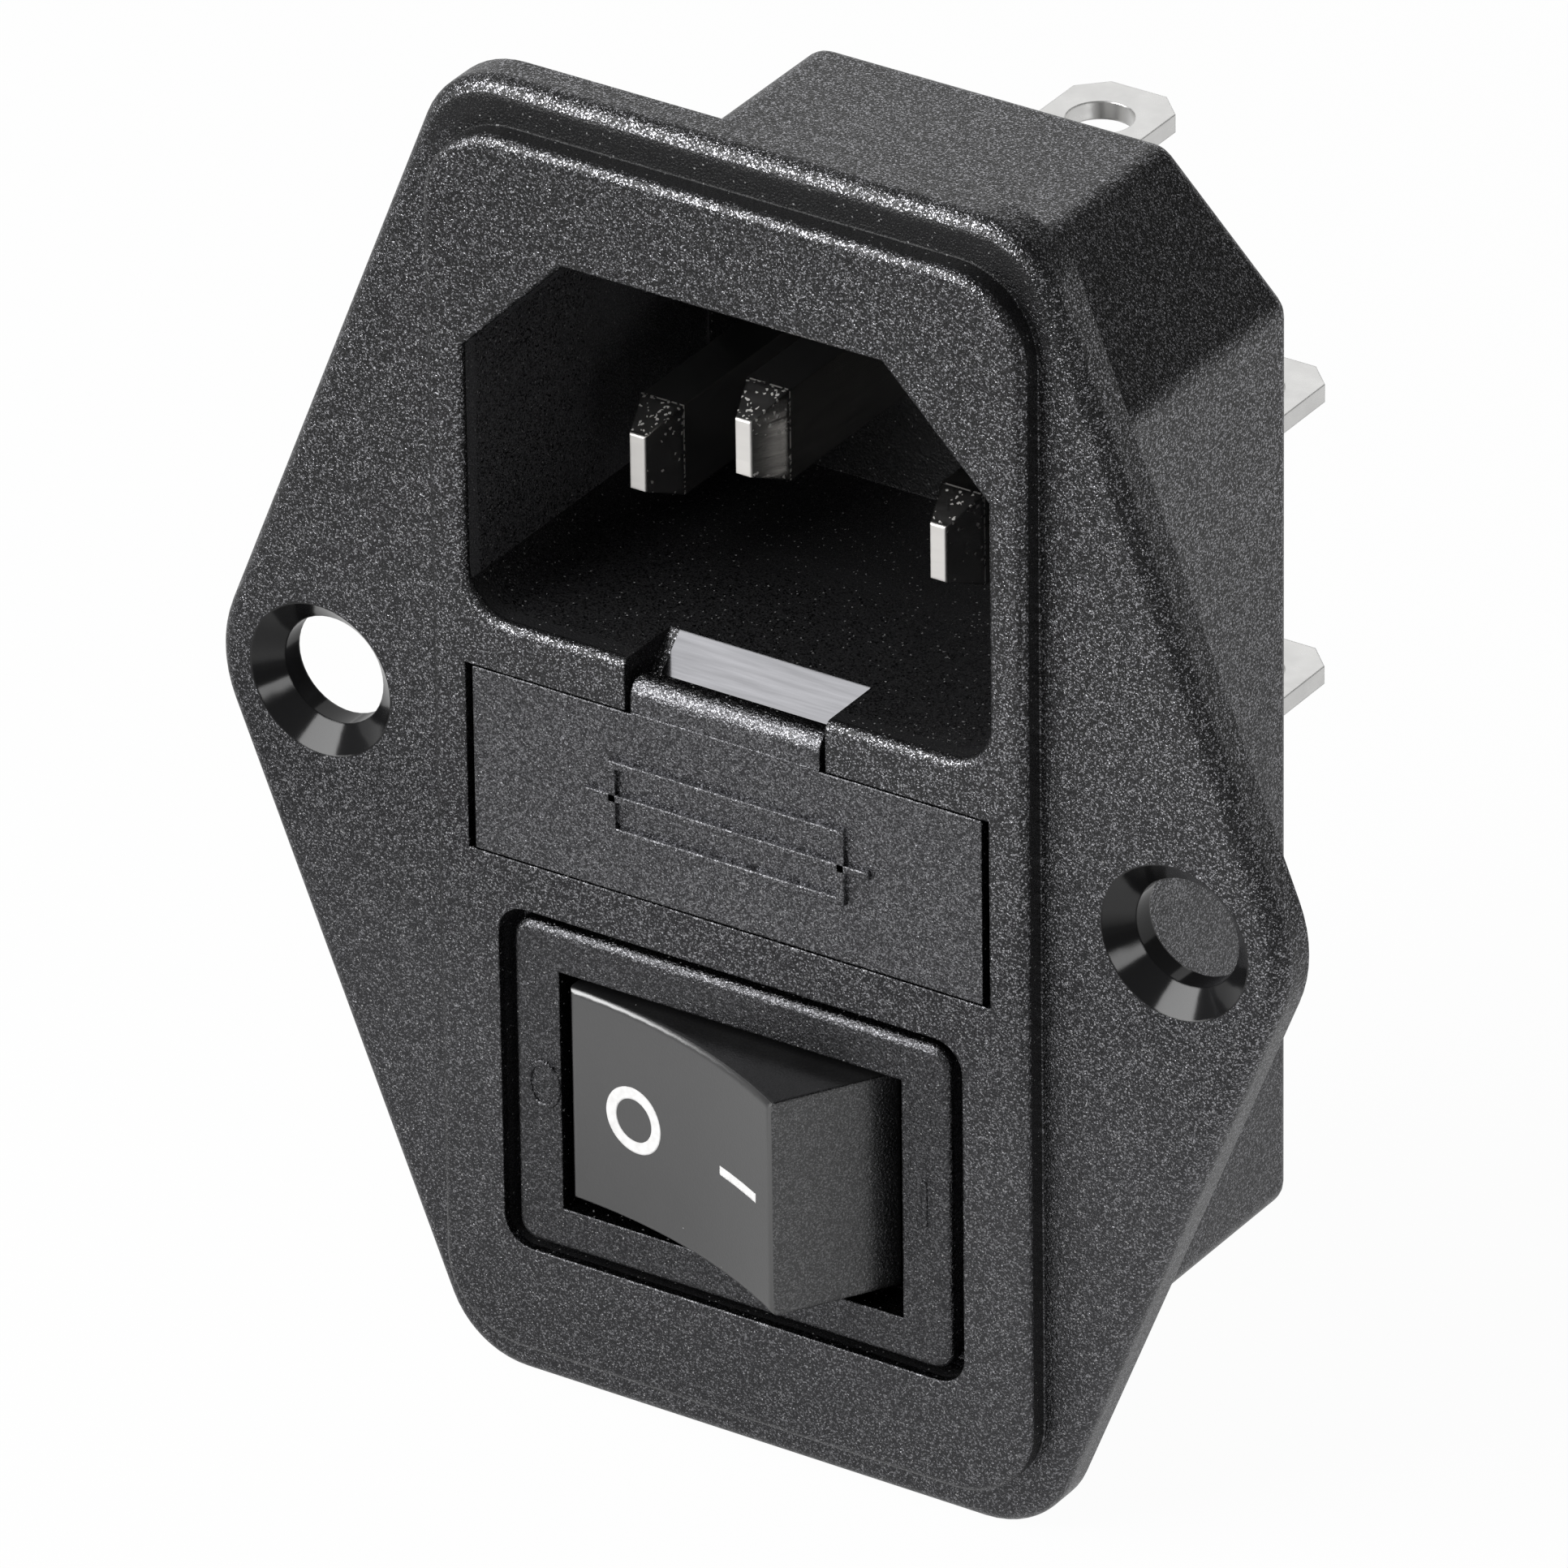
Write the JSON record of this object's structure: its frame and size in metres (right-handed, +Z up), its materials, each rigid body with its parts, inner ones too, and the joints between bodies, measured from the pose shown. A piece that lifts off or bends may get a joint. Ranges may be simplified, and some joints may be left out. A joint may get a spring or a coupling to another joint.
{
  "type": "panel-mount mains inlet",
  "caption": "Panel-mount mains inlet: hexagonal flange, bevelled socket with flat male pins, pull-out fuse drawer, rocker switch and rear solder tabs.",
  "frame": {"origin": "midway between the two screw holes, on the flange's rear face where it rests on the panel", "axes": "+X to the right seen from the front, +Y into the panel, +Z up with the socket above the switch"},
  "size_m": [0.0498, 0.034, 0.0584],
  "materials": {
    "housing_black": "fine spark-eroded grain",
    "drawer_black": "fine spark-eroded grain",
    "switch_black": "fine spark-eroded grain",
    "rocker_black": "satin",
    "plunger_white": "natural",
    "pin_nickel": "nickel plated",
    "tab_tinned": "tin plated",
    "contact_brass": "bare",
    "contact_silver": "silver faced",
    "fuse_cap": "nickel plated",
    "fuse_glass": "clear",
    "spring_steel": "drawn"
  },
  "bodies": {
    "inlet": {"housing": "housing_black", "earth_pin": "pin_nickel", "neutral_pin": "pin_nickel", "live_pin": "pin_nickel", "earth_terminal": "tab_tinned", "neutral_terminal": "tab_tinned", "live_fuse_contact": "tab_tinned", "fused_line_terminal": "tab_tinned", "switch_body": "switch_black", "switch_common_terminal": "tab_tinned", "switch_output_terminal": "tab_tinned", "fixed_contact_button": "contact_silver"},
    "drawer": {"fuse_drawer": "drawer_black", "fuse_glass_tube": "fuse_glass", "fuse_cap_left": "fuse_cap", "fuse_cap_right": "fuse_cap", "fuse_wire": "fuse_cap"},
    "rocker": {"rocker": "rocker_black", "plunger": "plunger_white", "plunger_spring": "spring_steel"},
    "lever": {"contact_lever": "contact_brass", "moving_contact_button": "contact_silver"}
  },
  "joints": [
    {"name": "rocker_tilt", "type": "hinge", "parent": "inlet", "child": "rocker", "pos_m": [0, 0.00095, -0.01465], "axis": [0, 0, 1], "range_deg": [0, 33.2]},
    {"name": "lever_tilt", "type": "hinge", "parent": "inlet", "child": "lever", "pos_m": [0, 0.00625, -0.01465], "axis": [0, 0, 1], "range_deg": [-16.1, 0]},
    {"name": "drawer_slide", "type": "slide", "parent": "inlet", "child": "drawer", "axis": [0, -1, 0], "range_m": [0, 0.0155]}
  ],
  "couplings": [
    {"joint": "lever_tilt", "follows": "rocker_tilt", "ratio": -0.48193}
  ]
}
